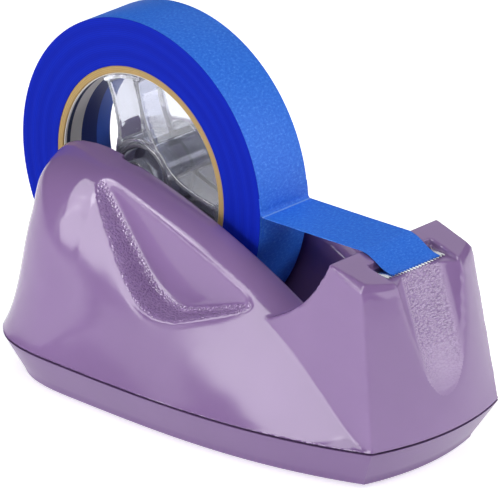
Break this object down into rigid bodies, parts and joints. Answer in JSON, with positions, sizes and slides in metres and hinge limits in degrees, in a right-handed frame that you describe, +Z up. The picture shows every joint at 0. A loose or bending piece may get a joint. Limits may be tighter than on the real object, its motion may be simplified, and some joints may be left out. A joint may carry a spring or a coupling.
{
  "type": "tape dispenser",
  "caption": "Weighted desktop tape dispenser: a flared moulded housing with a serrated cutter on its nose, and a wide-core roll of paper tape that spins on a lift-out clear hub.",
  "frame": {"origin": "middle of the whole object's box at table height", "axes": "+X towards the nose and cutter, +Y across the housing, +Z up"},
  "size_m": [0.1949, 0.106, 0.1352],
  "materials": {
    "housing_plastic": "gloss moulded, fine grain in the grips and the dish",
    "base_plastic": "gloss moulded",
    "ballast_steel": "raw plate",
    "screw_steel": "zinc plated",
    "pad_rubber": "matte",
    "blade_steel": "bright stamped",
    "hub_clear": "clear polystyrene",
    "core_board": "kraft board",
    "liner_paper": "plain paper sleeve",
    "tape_paper": "creped paper"
  },
  "bodies": {
    "housing": {"body_shell": "housing_plastic", "base_tray": "base_plastic", "ballast": "ballast_steel", "base_screws": "screw_steel", "foot_pad_1": "pad_rubber", "foot_pad_2": "pad_rubber", "foot_pad_3": "pad_rubber", "foot_pad_4": "pad_rubber", "cutter_blade": "blade_steel"},
    "strip": {"tape_lead": "tape_paper"},
    "roll": {"hub_spool": "hub_clear", "core_adapter": "hub_clear", "cardboard_core": "core_board", "core_liner": "liner_paper", "tape_roll": "tape_paper"}
  },
  "joints": [
    {"name": "roll_lift", "type": "slide", "parent": "housing", "child": "strip", "axis": [0, 0, 1], "range_m": [0, 0.075]},
    {"name": "roll_spin", "type": "hinge", "parent": "strip", "child": "roll", "pos_m": [-0.03905, 0, 0.0768], "axis": [0, 1, 0], "continuous": true}
  ]
}
